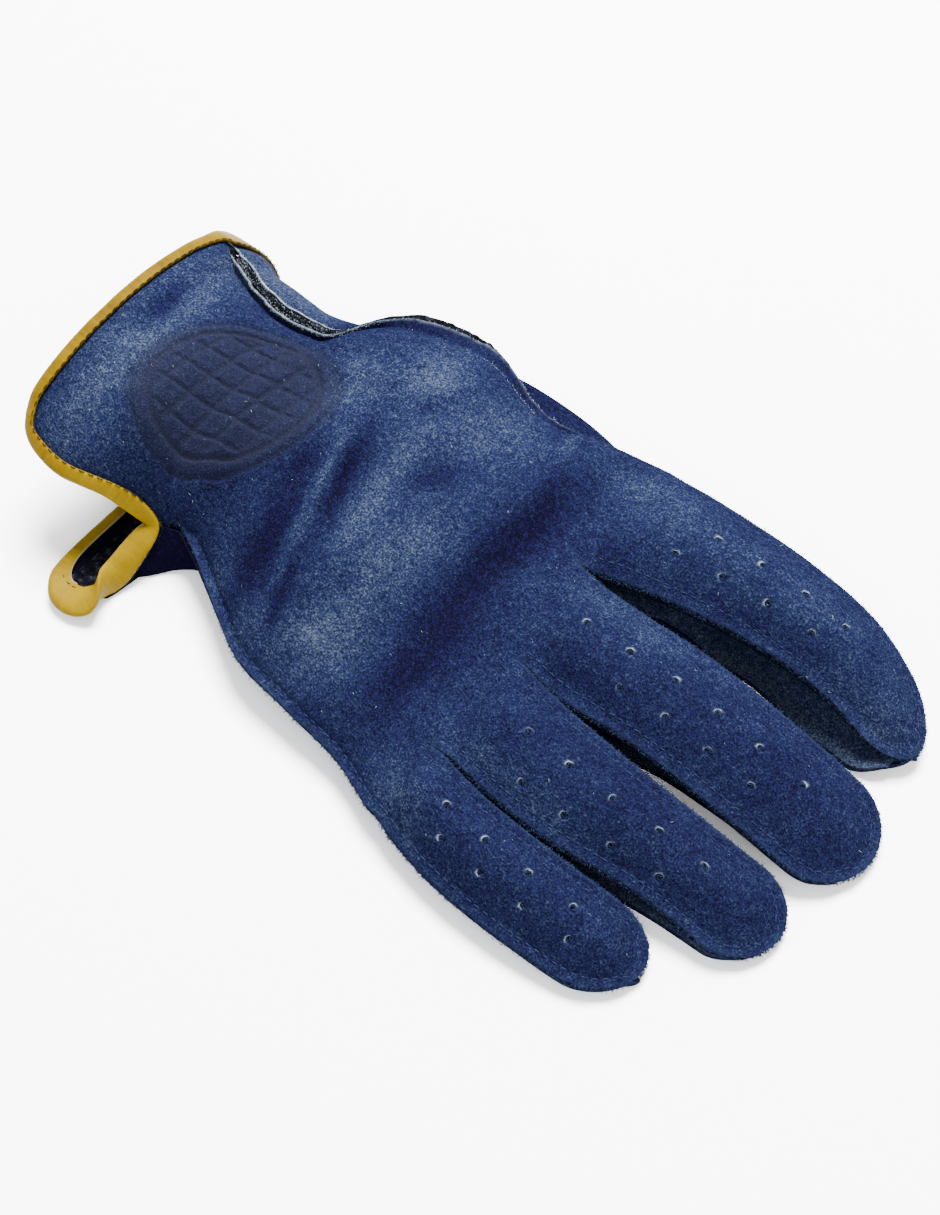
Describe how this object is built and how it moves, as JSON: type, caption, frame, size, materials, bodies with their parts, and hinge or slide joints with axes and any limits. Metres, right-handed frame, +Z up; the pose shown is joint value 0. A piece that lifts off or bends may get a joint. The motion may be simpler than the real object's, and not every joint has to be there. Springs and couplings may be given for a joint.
{
  "type": "racing glove",
  "caption": "Right-hand suede racing glove lying palm down, outseam sewn and perforated, with a bound slit at the wrist and the thumb folded under the palm; every finger is hollow.",
  "frame": {"origin": "centre of the glove's outline, on the surface that it lies on", "axes": "+X towards the fingertips, +Y towards the index finger's side, +Z up out of the back of the hand"},
  "size_m": [0.2366, 0.132, 0.0486],
  "materials": {
    "suede": "navy suede with a short brushed nap",
    "binding": "smooth yellow leather, fine cross wrinkles",
    "fleece": "black napped knit"
  },
  "bodies": {
    "root": {"back_panel": "suede", "palm_panel": "suede", "fourchette_little_ring": "suede", "fourchette_ring_middle": "suede", "fourchette_middle_index": "suede", "thumb": "suede", "back_lining": "fleece", "palm_lining": "fleece", "outseam_welt": "fleece", "cuff_binding": "binding"}
  },
  "joints": []
}
